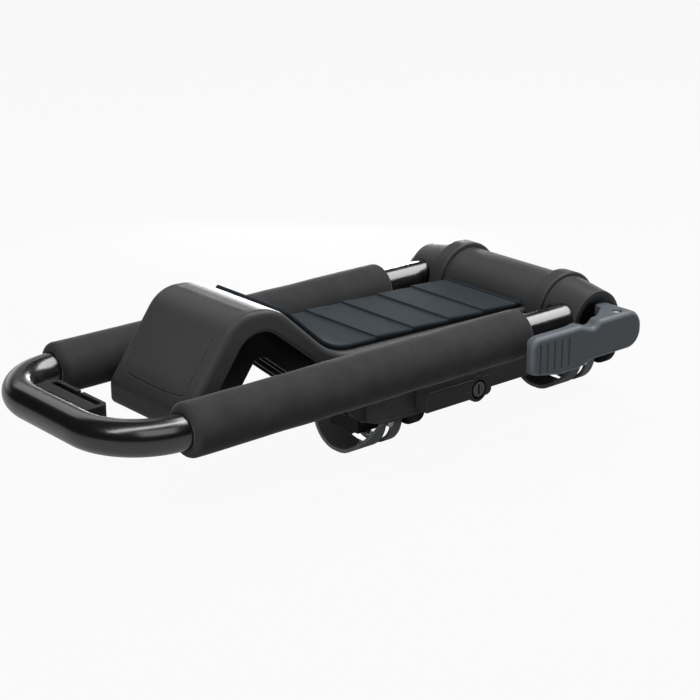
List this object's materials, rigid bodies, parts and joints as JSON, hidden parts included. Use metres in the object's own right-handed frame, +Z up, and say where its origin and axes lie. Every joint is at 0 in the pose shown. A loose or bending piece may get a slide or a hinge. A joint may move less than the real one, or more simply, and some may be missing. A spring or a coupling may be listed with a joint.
{
  "type": "j style kayak carrier",
  "caption": "Folding J carrier for a boat on a roof bar: padded U arm hinged on a humped base, cam lever, strap clamps and key lock.",
  "frame": {"origin": "on the load bar's top, half way between the two clamp straps, on the carrier's middle plane", "axes": "+X to the side with the cam lever, +Y along the load bar towards the hinge, +Z up from the bar"},
  "size_m": [0.228, 0.5369, 0.148],
  "materials": {
    "black_moulding": "satin, finely grained",
    "slate_pad": "matte",
    "black_rubber": "matte",
    "strap_plastic": "satin",
    "steel": "zinc plated",
    "friction": "matte",
    "key_metal": "satin",
    "black_tube": "gloss black coat",
    "foam": "soft closed-cell foam",
    "guide_plastic": "satin",
    "grey_lever": "satin"
  },
  "bodies": {
    "base": {"base_body": "black_moulding", "deck_pad": "slate_pad", "front_saddle": "black_rubber", "rear_saddle": "black_rubber", "front_strap": "strap_plastic", "rear_strap": "strap_plastic", "strap_pins": "steel", "hook_bolts": "steel", "hook_nuts": "steel", "near_collar": "black_moulding", "far_collar": "black_moulding", "friction_discs": "friction", "lock_housing": "black_moulding", "lock_screws": "steel"},
    "arm": {"arm_tube": "black_tube", "near_foam": "foam", "far_foam": "foam", "strap_guide": "guide_plastic", "guide_rivets": "steel", "near_knuckle": "black_moulding", "far_knuckle": "black_moulding", "leg_screws": "steel", "tie_rod": "steel", "rod_insert": "steel", "disc_springs": "steel", "thrust_plate": "steel"},
    "lever": {"cam_lever": "grey_lever", "lever_pin": "steel"},
    "lock": {"lock_cylinder": "key_metal", "lock_tongue": "steel"}
  },
  "joints": [
    {"name": "arm_fold", "type": "hinge", "parent": "base", "child": "arm", "pos_m": [0, 0.0555, 0.071], "axis": [-1, 0, 0], "range_deg": [0, 115]},
    {"name": "lever_swing", "type": "hinge", "parent": "arm", "child": "lever", "pos_m": [0.115, 0.0555, 0.071], "axis": [0, 0, 1], "range_deg": [0, 95]},
    {"name": "lock_turn", "type": "hinge", "parent": "base", "child": "lock", "pos_m": [0.055, -0.038, 0.0285], "axis": [1, 0, 0], "range_deg": [0, 90]}
  ]
}
